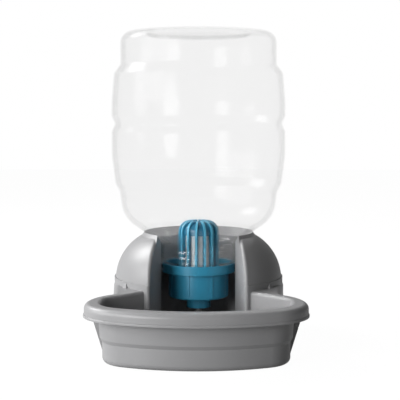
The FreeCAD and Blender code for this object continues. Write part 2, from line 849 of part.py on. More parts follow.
def make_cap():
    """Screw cap: threaded flange, ribbed drum, spout with a guide hub on three spokes."""
    body = turned_body("bottle_cap", "cap_turn")
    bore = "(finish_r + cap_clear)"
    drum_in = f"({DRUM_BORE_R} - drum_ledge)"
    revolve(body, "cap_shell", [
        (SPOUT_BORE_R, "spout_z"),
        ("spout_r", "spout_z"),
        ("spout_r", "drum_z"),
        ("drum_r - drum_round_r", "drum_z"),
        ("drum_r", "drum_z + drum_round_r", "drum_round_r", 1),
        ("drum_r", FLANGE_LOW_Z),
        ("cap_flange_r", FLANGE_LOW_Z),
        ("cap_flange_r", "cap_top_z"),
        (bore, "cap_top_z"),
        (bore, DECK_Z),
        (DRUM_BORE_R, DECK_Z),
        (DRUM_BORE_R, "retainer_z"),
        (drum_in, "retainer_z"),
        (drum_in, VALVE_SEAT_Z),
        (SPOUT_BORE_R, VALVE_SEAT_Z),
    ])
    low_z = "(spout_z + hub_rise)"
    spoke = body_sketch(body, "cap_spoke_outline", TOP_DOWN, low_z)
    start_x = "(stem_r + stem_gap + hub_wall / 2)"
    outline(spoke, [
        (start_x, "-spoke_thick / 2"),
        ("spout_r - spout_wall / 2", "-spoke_thick / 2"),
        ("spout_r - spout_wall / 2", "spoke_thick / 2"),
        (start_x, "spoke_thick / 2"),
    ])
    pattern(body, "cap_spokes", pad(body, "cap_spoke", spoke, "hub_high"), "hub_spokes")
    revolve(body, "cap_hub", [
        ("stem_r + stem_gap", low_z),
        ("stem_r + stem_gap + hub_wall", low_z),
        ("stem_r + stem_gap + hub_wall", f"{low_z} + hub_high"),
        ("stem_r + stem_gap", f"{low_z} + hub_high"),
    ])
    rib = body_sketch(body, "drum_rib_outline", TOP_DOWN, "drum_z + drum_round_r")
    outline(rib, [
        ("drum_r - drum_wall / 2", "-drum_rib_wide / 2"),
        ("drum_r + drum_rib_proud", "-drum_rib_wide / 2"),
        ("drum_r + drum_rib_proud", "drum_rib_wide / 2"),
        ("drum_r - drum_wall / 2", "drum_rib_wide / 2"),
    ])
    rib_pad = pad(body, "drum_rib", rib, f"{FLANGE_LOW_Z} - drum_z - drum_round_r + cap_deck / 2")
    pattern(body, "drum_ribs", rib_pad, "drum_rib_count")
    return body


def make_gasket():
    """Flat rubber ring between the bottle's lip and the cap's deck."""
    body = new_body("cap_gasket")
    revolve(body, "gasket_ring", [
        ("finish_r - gasket_wide", DECK_Z),
        ("finish_r", DECK_Z),
        ("finish_r", LIP_Z),
        ("finish_r - gasket_wide", LIP_Z),
    ])
    return body


# Valve

def make_stem():
    """Valve plunger: a rod that stands on the post, with a flat head and a spigot for the spring."""
    body = new_body("valve_stem")
    revolve(body, "stem_turned", [
        ("0", STEM_TIP_Z),
        ("stem_r - stem_chamfer", STEM_TIP_Z),
        ("stem_r", f"{STEM_TIP_Z} + stem_chamfer"),
        ("stem_r", HEAD_Z),
        ("head_r", HEAD_Z),
        ("head_r", f"{HEAD_TOP_Z} - stem_chamfer"),
        ("head_r - stem_chamfer", HEAD_TOP_Z),
        ("stem_r", HEAD_TOP_Z),
        ("stem_r", f"{HEAD_TOP_Z} + spigot_high"),
        ("0", f"{HEAD_TOP_Z} + spigot_high"),
    ])
    return body


def make_seal():
    """Rubber seal ring under the plunger's head, bevelled towards its seat."""
    body = new_body("valve_seal")
    revolve(body, "seal_ring", [
        ("stem_r", SEAL_Z),
        ("seal_r - seal_thick / 2", SEAL_Z),
        ("seal_r", f"{SEAL_Z} + seal_thick / 2"),
        ("seal_r", HEAD_Z),
        ("stem_r", HEAD_Z),
    ])
    return body


def make_spring():
    """Wire spring between the plunger's head and the retainer."""
    body = new_body("valve_spring")
    section = body_sketch(body, "wire_section", FACING_FRONT)
    wire = circle(section, "wire_r", "spring_r", f"{HEAD_TOP_Z} + wire_r")
    coil = body.newObject("PartDesign::AdditiveHelix", "spring_coil")
    coil.Profile = wire
    coil.ReferenceAxis = (wire, ["V_Axis"])
    coil.Mode = "height-turns-angle"
    bind(coil, "Height", f"retainer_z - {HEAD_TOP_Z} - 2 * wire_r")
    bind(coil, "Turns", "spring_turns")
    return body


def make_retainer():
    """Spider on the drum's ledge: outer ring, spokes and a hub whose boss centres the spring."""
    body = new_body("spring_retainer")
    rim_r = f"({DRUM_BORE_R} - fit_gap)"
    revolve(body, "retainer_rim", [
        (f"{rim_r} - retainer_ring", "retainer_z"),
        (rim_r, "retainer_z"),
        (rim_r, RETAINER_TOP_Z),
        (f"{rim_r} - retainer_ring", RETAINER_TOP_Z),
    ])
    spoke = body_sketch(body, "retainer_spoke_outline", TOP_DOWN, "retainer_z")
    outline(spoke, [
        ("0", "-retainer_spoke_wide / 2"),
        (f"{rim_r} - retainer_ring / 2", "-retainer_spoke_wide / 2"),
        (f"{rim_r} - retainer_ring / 2", "retainer_spoke_wide / 2"),
        ("0", "retainer_spoke_wide / 2"),
    ])
    spokes = pad(body, "retainer_spoke", spoke, "retainer_thick")
    pattern(body, "retainer_spokes", spokes, "retainer_spokes")
    revolve(body, "retainer_hub", [
        ("0", "retainer_z - spigot_high"),
        ("stem_r", "retainer_z - spigot_high"),
        ("stem_r", "retainer_z"),
        ("retainer_hub_r", "retainer_z"),
        ("retainer_hub_r", RETAINER_TOP_Z),
        ("0", RETAINER_TOP_Z),
    ])
    return body


# Filter

def make_cage():
    """Filter cage: a flange in the drum, a slotted tube with a rounded closed top, and radial fins."""
    body = turned_body("filter_cage", "fin_turn")
    tube_in = "(cage_tube_r - cage_wall)"
    revolve(body, "cage_tube", [
        (tube_in, RETAINER_TOP_Z),
        (f"{DRUM_BORE_R} - fit_gap", RETAINER_TOP_Z),
        (f"{DRUM_BORE_R} - fit_gap", CAGE_FLOOR_Z),
        ("cage_tube_r", CAGE_FLOOR_Z),
        ("cage_tube_r", "cage_top_z - cage_round_r"),
        ("cage_tube_r - cage_round_r", "cage_top_z", "cage_round_r", 1),
        ("0", "cage_top_z"),
        ("0", "window_high_z + cage_roof"),
        (tube_in, "window_high_z + cage_roof"),
    ])
    window = body_sketch(body, "window_outline", TOP_DOWN, "window_low_z")
    half_pitch = FreeCAD.Rotation(UPWARDS, 180 / number("fin_count"))
    window.AttachmentOffset = FreeCAD.Placement(window.AttachmentOffset.Base, half_pitch)
    bind(window, "AttachmentOffset.Rotation.Angle", "180 deg / fin_count")
    outline(window, [
        ("cage_tube_r - cage_wall - fit_gap", "-window_wide / 2"),
        ("cage_tube_r + fit_gap", "-window_wide / 2"),
        ("cage_tube_r + fit_gap", "window_wide / 2"),
        ("cage_tube_r - cage_wall - fit_gap", "window_wide / 2"),
    ])
    opening = body.newObject("PartDesign::Pocket", "cage_window")
    opening.Profile = window
    opening.Reversed = True
    bind(opening, "Length", "window_high_z - window_low_z")
    pattern(body, "cage_windows", opening, "fin_count")
    fin_r = "(cage_tube_r + fin_proud)"
    fin_top = "(cage_top_z + fin_proud)"
    fin = body_sketch(body, "fin_profile", FACING_FRONT)
    outline(fin, [
        ("cage_tube_r - cage_wall / 2", CAGE_FLOOR_Z),
        (fin_r, CAGE_FLOOR_Z),
        (fin_r, "cage_top_z - cage_round_r"),
        (f"{fin_r} - cage_round_r - fin_proud", fin_top, "cage_round_r + fin_proud", 1),
        ("fin_hub_r", fin_top),
        ("fin_hub_r", "cage_top_z - cage_roof / 2"),
        ("cage_tube_r - cage_wall / 2 - cage_round_r / 2", "cage_top_z - cage_roof / 2"),
        ("cage_tube_r - cage_wall / 2", "cage_top_z - cage_round_r"),
    ])
    fin_pad = pad(body, "cage_fin", fin, "fin_thick", midplane=True)
    pattern(body, "cage_fins", fin_pad, "fin_count")
    return body


def make_cartridge():
    """Sealed filter cartridge: two end caps and a slightly slimmer sleeve."""
    body = new_body("filter_cartridge")
    cap_r = "(cage_tube_r - cage_wall - fit_gap)"
    top_z = f"({RETAINER_TOP_Z} + cartridge_high)"
    revolve(body, "cartridge_turned", [
        ("0", RETAINER_TOP_Z),
        (cap_r, RETAINER_TOP_Z),
        (cap_r, f"{RETAINER_TOP_Z} + cartridge_cap"),
        (f"{cap_r} - cartridge_waist", f"{RETAINER_TOP_Z} + cartridge_cap"),
        (f"{cap_r} - cartridge_waist", f"{top_z} - cartridge_cap"),
        (cap_r, f"{top_z} - cartridge_cap"),
        (cap_r, top_z),
        ("0", top_z),
    ])
    return body


# Feet

def make_foot(name, across, back):
    """Rubber foot: a chamfered button glued in its socket."""
    body = doc.addObject("PartDesign::Body", name)
    body.Label = name
    bind(body, "Placement.Base.x", across)
    bind(body, "Placement.Base.y", f"{AXIS_Y} + {back}")
    revolve(body, f"{name}_button", [
        ("0", "0"),
        ("foot_r - foot_recess", "0"),
        ("foot_r", "foot_recess"),
        ("foot_r", "base_clear + foot_recess"),
        ("0", "base_clear + foot_recess"),
    ])
    return body


pieces = {
    "base": make_base(),
    "bottle": make_bottle(),
    "bottle_cap": make_cap(),
    "cap_gasket": make_gasket(),
    "valve_stem": make_stem(),
    "valve_seal": make_seal(),
    "valve_spring": make_spring(),
    "spring_retainer": make_retainer(),
    "filter_cage": make_cage(),
    "filter_cartridge": make_cartridge(),
}
for foot_name, (foot_x, foot_y) in FEET.items():
    pieces[foot_name] = make_foot(foot_name, foot_x, foot_y)
doc.recompute()

failed = [item.Name for item in doc.Objects if "Invalid" in item.State or "Error" in item.State]
if failed:
    raise RuntimeError(f"objects that failed: {failed}")
for label, piece in pieces.items():
    piece.Label = label
    shape = piece.Shape
    if shape.isNull() or not shape.isValid() or len(shape.Solids) != 1:
        raise RuntimeError(f"{label} is not one sound solid")

os.makedirs("parts", exist_ok=True)
for label, piece in pieces.items():
    piece.Shape.exportStep(f"parts/{label}.step")
    print(f"{label}: {piece.Shape.Volume / 1000:.2f} cm3")
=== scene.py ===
"""Looks of a gravity waterer for a dog: grey moulded base, clear upturned bottle, blue cap and filter.

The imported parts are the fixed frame. Every moulding is dressed here with its finish. The bottle is
blown anew with soft bands, rings round its neck and an even wall, and a photo studio is set round
the finished object. All lengths are in metres.
"""
import logging
import math
from collections.abc import Iterable
from dataclasses import dataclass, field
from enum import Enum, IntEnum
from typing import NamedTuple

import bpy
from mathutils import Euler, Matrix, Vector


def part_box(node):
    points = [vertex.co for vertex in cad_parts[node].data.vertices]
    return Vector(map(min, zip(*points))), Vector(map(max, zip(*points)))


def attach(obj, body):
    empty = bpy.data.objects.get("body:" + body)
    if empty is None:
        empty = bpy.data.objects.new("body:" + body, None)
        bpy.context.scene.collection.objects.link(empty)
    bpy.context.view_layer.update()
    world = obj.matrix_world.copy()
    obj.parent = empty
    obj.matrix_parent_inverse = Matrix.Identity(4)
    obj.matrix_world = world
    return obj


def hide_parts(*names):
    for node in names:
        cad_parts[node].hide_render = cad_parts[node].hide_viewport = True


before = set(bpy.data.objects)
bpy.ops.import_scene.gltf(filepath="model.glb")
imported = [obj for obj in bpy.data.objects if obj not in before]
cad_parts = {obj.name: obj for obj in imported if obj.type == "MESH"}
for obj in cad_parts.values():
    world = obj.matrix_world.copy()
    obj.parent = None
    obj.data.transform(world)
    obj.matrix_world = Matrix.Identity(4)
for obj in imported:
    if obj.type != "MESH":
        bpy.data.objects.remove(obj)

logging.basicConfig(level=logging.INFO, format="%(message)s")
log = logging.getLogger("waterer")

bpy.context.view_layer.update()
MM = 0.001
NOISE_MIDDLE = 0.5
WHITE = (1.0, 1.0, 1.0, 1.0)

# Red, green and blue
Colour = tuple[float, float, float]
# Metres along x, y and z
Place = tuple[float, float, float]
# Times finer along x, y and z
Stretch = tuple[float, float, float]
# An upright axis, in plan
Axis = tuple[float, float]
# Radius and height
Ring = tuple[float, float]
# Where a smooth step starts and ends
Band = tuple[float, float]


class Body(Enum):
    """The rigid bodies that a piece can ride on."""

    STAND = "stand"
    GASKET = "gasket"
    CAP = "cap"
    VALVE = "valve"


class Slot(Enum):
    """The record's material slots."""

    BASE = "base_plastic"
    BOTTLE = "clear_plastic"
    CAP = "cap_plastic"
    CAGE = "cage_plastic"
    FILTER = "filter_shell"
    VALVE = "valve_plastic"
    SEAL = "seal_rubber"
    SPRING = "spring_wire"
    FOOT = "foot_rubber"


class Ray(Enum):
    """The kinds of light path for which the studio has a brightness of its own."""

    CAMERA = "Is Camera Ray"
    GLOSSY = "Is Glossy Ray"
    TRANSMISSION = "Is Transmission Ray"


class ColourMix(IntEnum):
    """Places of a Mix node's sockets when it mixes colours. RESULT is an output."""

    SHARE = 0
    LOW = 6
    HIGH = 7
    RESULT = 2


class Station(NamedTuple):
    """One corner of a half section, and the radius that rounds it."""

    radius: float
    height: float
    rounding: float = 0.0

    @property
    def point(self) -> Vector:
        """The sharp corner, in the plane of the half section."""
        return Vector((self.radius, self.height))


@dataclass(frozen=True)
class Signal:
    """A number that varies over a surface, with Python's operators for its Math nodes."""

    wiring: "Wiring"
    socket: bpy.types.NodeSocket

    def __add__(self, other: "Signal | float") -> "Signal":
        """Sum of two numbers."""
        return self.wiring.maths("ADD", self, other)

    def __radd__(self, other: float) -> "Signal":
        """Sum with a plain number on the left."""
        return self.wiring.maths("ADD", other, self)

    def __sub__(self, other: "Signal | float") -> "Signal":
        """Difference of two numbers."""
        return self.wiring.maths("SUBTRACT", self, other)

    def __rsub__(self, other: float) -> "Signal":
        """A plain number less this one."""
        return self.wiring.maths("SUBTRACT", other, self)

    def __mul__(self, other: "Signal | float") -> "Signal":
        """Product of two numbers."""
        return self.wiring.maths("MULTIPLY", self, other)

    def __rmul__(self, other: float) -> "Signal":
        """Product with a plain number on the left."""
        return self.wiring.maths("MULTIPLY", other, self)

    def __pow__(self, other: float) -> "Signal":
        """Power of this number."""
        return self.wiring.maths("POWER", self, other)

    def at_least(self, other: "Signal | float") -> "Signal":
        """The larger of two numbers."""
        return self.wiring.maths("MAXIMUM", self, other)

    def between(self, low: float, high: float) -> "Signal":
        """A smooth step.

        Args:
            low: Where the step starts, at 0.
            high: Where it ends, at 1.

        Returns:
            The stepped number.
        """
        span = self.wiring.node(
            "ShaderNodeMapRange",
            {"interpolation_type": "SMOOTHSTEP", "clamp": True},
            {"Value": self, "From Min": low, "From Max": high},
        )
        return Signal(self.wiring, span.outputs["Result"])


class Wiring:
    """Adds and links the nodes of one material or world."""

    def __init__(self, tree: bpy.types.NodeTree) -> None:
        """Start with an empty tree.

        Args:
            tree: The node tree to fill.
        """
        self.tree = tree
        tree.nodes.clear()

    def node(
        self,
        kind: str,
        settings: dict[str, object] | None = None,
        values: dict[str | int, object] | None = None,
    ) -> bpy.types.Node:
        """Add one node.

        Args:
            kind: The node's type.
            settings: Properties set first, such as a Math node's operation.
            values: Numbers, colours, signals or sockets for its inputs.

        Returns:
            The new node.
        """
        made = self.tree.nodes.new(kind)
        for name, setting in (settings or {}).items():
            setattr(made, name, setting)
        for name, value in (values or {}).items():
            socket = made.inputs[name]
            if isinstance(value, Signal):
                self.tree.links.new(value.socket, socket)
            elif isinstance(value, bpy.types.NodeSocket):
                self.tree.links.new(value, socket)
            else:
                socket.default_value = value
        return made

    def maths(self, operation: str, *terms: Signal | float) -> Signal:
        """Add a Math node.

        Args:
            operation: What it does.
            terms: Its two numbers.

        Returns:
            The result.
        """
        made = self.node("ShaderNodeMath", {"operation": operation}, dict(enumerate(terms)))
        return Signal(self, made.outputs[0])

    def place(self) -> bpy.types.NodeSocket:
        """The point of the surface, in the object's own metres."""
        return self.node("ShaderNodeTexCoord").outputs["Object"]

    def axes(self) -> tuple[Signal, Signal, Signal]:
        """The same point as three numbers."""
        split = self.node("ShaderNodeSeparateXYZ", values={"Vector": self.place()})
        return tuple(Signal(self, split.outputs[name]) for name in "XYZ")

    def noise(
        self, cells_per_metre: float, detail: float = 2.0, stretch: Stretch = (1.0, 1.0, 1.0)
    ) -> Signal:
        """Soft noise over the surface.

        Args:
            cells_per_metre: How fine it is.
            detail: How many finer layers it has.
            stretch: How many times finer it is along each axis.

        Returns:
            A number from 0 to 1 about the middle.
        """
        mapped = self.node("ShaderNodeMapping", values={"Vector": self.place(), "Scale": stretch})
        made = self.node(
            "ShaderNodeTexNoise",
            values={"Vector": mapped.outputs["Vector"], "Scale": cells_per_metre, "Detail": detail},
        )
        return Signal(self, made.outputs["Fac"])

    def tint(self, share: Signal, low: Colour, high: Colour) -> bpy.types.NodeSocket:
        """A colour between two others."""
        mixed = self.node(
            "ShaderNodeMix",
            {"data_type": "RGBA"},
            {ColourMix.SHARE: share, ColourMix.LOW: (*low, 1.0), ColourMix.HIGH: (*high, 1.0)},
        )
        return mixed.outputs[ColourMix.RESULT]

    def bump(self, height: Signal, depth: float, strength: float = 1.0) -> bpy.types.NodeSocket:
        """A normal that follows a height.

        Args:
            height: A number from 0 to 1.
            depth: How deep that is, in metres.
            strength: How much of it shows.

        Returns:
            The normal socket.
        """
        made = self.node(
            "ShaderNodeBump", values={"Height": height, "Distance": depth, "Strength": strength}
        )
        return made.outputs["Normal"]

    def blend(self, share: Signal, first: bpy.types.Node, second: bpy.types.Node) -> bpy.types.Node:
        """One shader mixed with another.

        Args:
            share: How much of the second shows.
            first: The shader that shows at 0.
            second: The shader that shows at 1.

        Returns:
            The mixed shader.
        """
        ends = {0: share, 1: first.outputs[0], 2: second.outputs[0]}
        return self.node("ShaderNodeMixShader", values=ends)

    def show(self, shader: bpy.types.Node) -> None:
        """End a material's tree with its shader."""
        self.node("ShaderNodeOutputMaterial", values={"Surface": shader.outputs[0]})

    def surface(self, values: dict[str | int, object]) -> None:
        """Finish a material with one Principled shader.

        Args:
            values: Its sockets' numbers, colours and links.
        """
        self.show(self.node("ShaderNodeBsdfPrincipled", values=values))


def scaled(colour: Colour, share: float) -> Colour:
    """A colour made lighter or darker."""
    return tuple(min(channel * share, 1.0) for channel in colour)


def new_material(name: str) -> tuple[bpy.types.Material, Wiring]:
    """An empty node material and its wiring."""
    material = bpy.data.materials.new(name)
    material.use_nodes = True
    return material, Wiring(material.node_tree)


@dataclass(frozen=True)
class MouldedPlastic:
    """Opaque injection-moulded plastic with a fine spark-eroded grain and faint flow marks.

    Grain, flow marks and smudges are counted in cells per metre.
    """

    name: str
    colour: Colour
    roughness: float = 0.42
    specular: float = 0.5
    grain: float = 2600.0
    grain_depth: float = 0.00003
    grain_share: float = 0.3
    grain_rough: float = 0.1
    flow: float = 9.0
    flow_stretch: Stretch = (1.0, 1.0, 0.4)
    flow_share: float = 0.05
    flow_band: Band = (0.3, 0.7)
    smudge: float = 54.0
    smudge_band: Band = (0.45, 0.75)
    smudge_rough: float = 0.06

    def build(self) -> bpy.types.Material:
        """Wire the finish."""
        material, wiring = new_material(self.name)
        grain = wiring.noise(self.grain, detail=3.0)
        flow = wiring.noise(self.flow, detail=3.0, stretch=self.flow_stretch)
        smudge = wiring.noise(self.smudge, detail=4.0).between(*self.smudge_band)
        shade = flow * (1 - self.grain_share) + grain * self.grain_share
        wiring.surface({
            "Base Color": wiring.tint(
                shade.between(*self.flow_band),
                scaled(self.colour, 1 - self.flow_share),
                scaled(self.colour, 1 + self.flow_share),
            ),
            "Roughness": (
                self.roughness
                + smudge * self.smudge_rough
                + (grain - NOISE_MIDDLE) * self.grain_rough
            ),
            "Specular IOR Level": self.specular,
            "Normal": wiring.bump(grain, self.grain_depth),
        })
        return material


@dataclass(frozen=True)
class BlownClear:
    """Clear blown plastic: thin, glossy, and a little wavy where the wall cooled unevenly.

    A share of the light goes straight through it. The share is neck_share up to neck_z, where the
    wall shows most, and it grows to open_share at shoulder_z.
    """

    name: str
    colour: Colour = (0.965, 0.965, 0.965)
    through: Colour = (0.97, 0.97, 0.97)
    neck_share: float = 0.35
    neck_z: float = 0.092
    open_share: float = 0.93
    shoulder_z: float = 0.110
    roughness: float = 0.03
    ior: float = 1.06
    coat: float = 1.0
    coat_roughness: float = 0.13
    wave: float = 28.0
    wave_stretch: Stretch = (1.0, 1.0, 0.5)
    wave_depth: float = 0.0016
    wave_strength: float = 0.25

    def build(self) -> bpy.types.Material:
        """Wire the finish."""
        material, wiring = new_material(self.name)
        wave = wiring.noise(self.wave, detail=2.0, stretch=self.wave_stretch)
        wall = wiring.node("ShaderNodeBsdfPrincipled", values={
            "Base Color": (*self.colour, 1.0),
            "Roughness": self.roughness,
            "IOR": self.ior,
            "Transmission Weight": 1.0,
            "Coat Weight": self.coat,
            "Coat Roughness": self.coat_roughness,
            "Normal": wiring.bump(wave, self.wave_depth, self.wave_strength),
        })
        straight = wiring.node("ShaderNodeBsdfTransparent", values={"Color": (*self.through, 1.0)})
        _, _, height = wiring.axes()
        upper = height.between(self.neck_z, self.shoulder_z)
        share = self.neck_share + upper * (self.open_share - self.neck_share)
        wiring.show(wiring.blend(share, wall, straight))
        return material


@dataclass(frozen=True)
class FinnedPlastic:
    """Moulded plastic with painted light: its thin fins are painted paler than their tube, to stand for
    the light that shines through them.

    The tube is upright, with a flat top of radius flat_r and an edge rounded by round_r from round_z
    up. Fins stand out from it by fin_proud, and the painted light on them grows from foot_share to
    tip_share of that.
    """

    name: str
    deep: Colour
    painted_fin_light: Colour
    flat_r: float = 9.0 * MM
    round_z: float = 104.1 * MM
    round_r: float = 8.5 * MM
    fin_proud: float = 2.5 * MM
    foot_share: float = 0.1
    tip_share: float = 0.9
    roughness: float = 0.28
    grain: float = 2600.0
    grain_depth: float = 0.00001
    grain_rough: float = 0.06

    def build(self, axis: Axis) -> bpy.types.Material:
        """Wire the finish.

        Args:
            axis: The tube's axis.

        Returns:
            The material.
        """
        material, wiring = new_material(self.name)
        across, along, height = wiring.axes()
        across, along = across - axis[0], along - axis[1]
        side = ((across * across + along * along) ** 0.5 - self.flat_r).at_least(0.0)
        up = (height - self.round_z).at_least(0.0)
        proud = (side * side + up * up) ** 0.5 - self.round_r
        grain = wiring.noise(self.grain, detail=3.0)
        # Painted light: the outer parts of the fins are painted paler, for the light that shines
        # through them.
        painted_fin_light = proud.between(self.foot_share * self.fin_proud, self.tip_share * self.fin_proud)
        wiring.surface({
            "Base Color": wiring.tint(painted_fin_light, self.deep, self.painted_fin_light),
            "Roughness": self.roughness + grain * self.grain_rough,
            "Normal": wiring.bump(grain, self.grain_depth),
        })
        return material


@dataclass(frozen=True)
class SoftRubber:
    """Dark matt rubber with a dusty bloom."""

    name: str
    colour: Colour = (0.018, 0.018, 0.019)
    dusty: Colour = (0.05, 0.05, 0.05)
    roughness: float = 0.7
    bloom: float = 160.0
    bloom_band: Band = (0.4, 0.75)
    bloom_rough: float = 0.15
    grain: float = 3000.0
    grain_depth: float = 0.00002

    def build(self) -> bpy.types.Material:
        """Wire the finish."""
        material, wiring = new_material(self.name)
        bloom = wiring.noise(self.bloom, detail=4.0).between(*self.bloom_band)
        wiring.surface({
            "Base Color": wiring.tint(bloom, self.colour, self.dusty),
            "Roughness": self.roughness + bloom * self.bloom_rough,
            "Normal": wiring.bump(wiring.noise(self.grain), self.grain_depth),
        })
        return material


@dataclass(frozen=True)
class DrawnWire:
    """Bright spring wire with fine drawing lines."""

    name: str
    colour: Colour = (0.62, 0.61, 0.59)
    roughness: float = 0.25
    lines: float = 4000.0
    line_stretch: Stretch = (1.0, 1.0, 8.0)
    line_shade: float = 0.85
    line_rough: float = 0.15

    def build(self) -> bpy.types.Material:
        """Wire the finish."""
        material, wiring = new_material(self.name)
        lines = wiring.noise(self.lines, detail=2.0, stretch=self.line_stretch)
        wiring.surface({
            "Base Color": wiring.tint(lines, scaled(self.colour, self.line_shade), self.colour),
            "Metallic": 1.0,
            "Roughness": self.roughness + lines * self.line_rough,
        })
        return material


GREY_BASE = MouldedPlastic("grey_base_plastic", (0.27, 0.27, 0.275), roughness=0.4)
BLUE_CAP = MouldedPlastic("blue_cap_plastic", (0.03, 0.27, 0.43), roughness=0.32, grain_depth=0.00001)
# Painted light: the cage's fins are painted a paler blue than their tube, for the light through the
# thin fins.
BLUE_CAGE = FinnedPlastic("blue_cage_plastic", (0.018, 0.16, 0.27), (0.1, 0.42, 0.6))
WHITE_SHELL = MouldedPlastic("white_filter_plastic", (0.72, 0.74, 0.74), roughness=0.45)
VALVE_PLASTIC = MouldedPlastic("white_valve_plastic", (0.7, 0.7, 0.67), roughness=0.4)
CLEAR = BlownClear("clear_bottle_plastic")
SEAL = SoftRubber("black_seal_rubber")
FOOT = SoftRubber("black_foot_rubber", (0.012, 0.012, 0.012))
WIRE = DrawnWire("bright_spring_wire")


class Bench:
    """Modelling by hand on one object at a time."""

    @staticmethod
    def clear() -> None:
        """Leave edit mode and deselect everything."""
        if bpy.context.object and bpy.context.object.mode != "OBJECT":
            bpy.ops.object.mode_set(mode="OBJECT")
        bpy.ops.object.select_all(action="DESELECT")

    @classmethod
    def take(cls, piece: bpy.types.Object) -> None:
        """Select one object alone and make it active."""
        cls.clear()
        piece.select_set(True)
        bpy.context.view_layer.objects.active = piece

    @classmethod
    def copy_of(cls, node: str, name: str) -> bpy.types.Object:
        """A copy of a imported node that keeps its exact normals.

        Args:
            node: The node's name.
            name: The new piece's name.

        Returns:
            The copy, free of the frame.
        """
        cls.take(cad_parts[node])
        bpy.ops.object.duplicate()
        piece = bpy.context.object
        piece.name = name
        piece.data.name = name
        for key in [key for key in piece.keys() if key.startswith("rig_")]:
            del piece[key]
        piece.parent = None
        return piece

    @classmethod
    def smooth(cls, piece: bpy.types.Object, degrees: float) -> None:
        """Shade a piece smooth, with sharp edges past an angle."""
        cls.take(piece)
        bpy.ops.object.shade_smooth_by_angle(angle=math.radians(degrees))

    @classmethod
    def modify(cls, piece: bpy.types.Object, kind: str, **settings: object) -> None:
        """Add a modifier and apply it.

        Args:
            piece: The piece to change.
            kind: The modifier's type.
            settings: Its properties.
        """
        cls.take(piece)
        modifier = piece.modifiers.new(kind.lower(), kind)
        for name, value in settings.items():
            setattr(modifier, name, value)
        bpy.ops.object.modifier_apply(modifier=modifier.name)

    @classmethod
    def turned(cls, name: str, rings: list[Ring], centre: Axis, segments: int) -> bpy.types.Object:
        """A round skin drawn up ring by ring from a circle, whose last ring closes to a point.

        Args:
            name: The piece's name.
            rings: The rings, in order.
            centre: The axis.
            segments: Points round a ring.

        Returns:
            The skin, open at its first ring.
        """
        cls.clear()
        radius, height = rings[0]
        bpy.ops.mesh.primitive_circle_add(
            vertices=segments, radius=radius, fill_type="NOTHING", location=(*centre, height)
        )
        piece = bpy.context.object
        piece.name = name
        piece.data.name = name
        bpy.ops.object.transform_apply(location=True, rotation=True, scale=True)
        bpy.ops.object.mode_set(mode="EDIT")
        bpy.ops.mesh.select_all(action="SELECT")
        for wider, higher in rings[1:]:
            bpy.ops.mesh.extrude_edges_move(TRANSFORM_OT_translate={"value": (0, 0, higher - height)})
            share = wider / radius
            bpy.ops.transform.resize(value=(share, share, 1), center_override=(*centre, higher))
            radius, height = wider, higher
        bpy.ops.mesh.merge(type="CENTER")
        bpy.ops.mesh.select_all(action="SELECT")
        bpy.ops.mesh.normals_make_consistent(inside=False)
        bpy.ops.object.mode_set(mode="OBJECT")
        return piece


def rounded_path(stations: list[Station], steps: int, least: float = 0.05 * MM) -> list[Ring]:
    """A smooth half section through stations whose corners are rounded.

    Args:
        stations: The stations, in order.
        steps: Steps round each rounded corner.
        least: Points closer than this to the last one are left out.

    Returns:
        Radius and height of each point.
    """
    path = [stations[0].point]
    for before, here, after in zip(stations, stations[1:], stations[2:]):
        corner = here.point
        back = (before.point - corner).normalized()
        ahead = (after.point - corner).normalized()
        bend = math.pi - back.angle(ahead)
        start = corner + back * here.rounding * math.tan(bend / 2)
        end = corner + ahead * here.rounding * math.tan(bend / 2)
        if (end - start).length < least:
            path.append(corner)
            continue
        centre = corner + (back + ahead).normalized() * (here.rounding / math.cos(bend / 2))
        for step in range(steps + 1):
            spoke = (start - centre).slerp(end - centre, step / steps)
            path.append(centre + spoke * here.rounding)
    path.append(stations[-1].point)
    kept = [path[0]]
    for point in path[1:]:
        if (point - kept[-1]).length > least:
            kept.append(point)
    return [(point.x, point.y) for point in kept]


def axis_of(box: tuple[Vector, Vector]) -> Axis:
    """The upright axis through the middle of a box."""
    low, high = box
    return (low.x + high.x) / 2, (low.y + high.y) / 2


@dataclass
class Dresser:
    """Puts finished pieces on their bodies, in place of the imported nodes."""

    made: list[str] = field(default_factory=list)

    def dress(
        self,
        piece: bpy.types.Object,
        finish: bpy.types.Material,
        body: Body,
        slot: Slot,
        stands_for: Iterable[str],
    ) -> None:
        """Put a piece on its body with its finish.

        Args:
            piece: The finished mesh.
            finish: Its material.
            body: The body it rides on.
            slot: The record's slot for its finish; not used.
            stands_for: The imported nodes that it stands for.
        """
        piece.data.materials.clear()
        piece.data.materials.append(finish)
        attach(piece, body.value)
        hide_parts(*stands_for)
        self.made.append(piece.name)
        log.info("%s: %d faces on %s", piece.name, len(piece.data.polygons), body.value)


@dataclass
class StandBase:
    """The grey one-piece base and its four rubber feet."""

    dresser: Dresser
    feet: tuple[str, ...] = ("foot_front_left", "foot_front_right", "foot_rear_left", "foot_rear_right")

    def build(self) -> None:
        """Dress the moulding and the feet."""
        skin = Bench.copy_of("base", "base_skin")
        self.dresser.dress(skin, GREY_BASE.build(), Body.STAND, Slot.BASE, ["base"])
        rubber = FOOT.build()
        for foot in self.feet:
            pad = Bench.copy_of(foot, f"{foot}_pad")
            self.dresser.dress(pad, rubber, Body.STAND, Slot.FOOT, [foot])


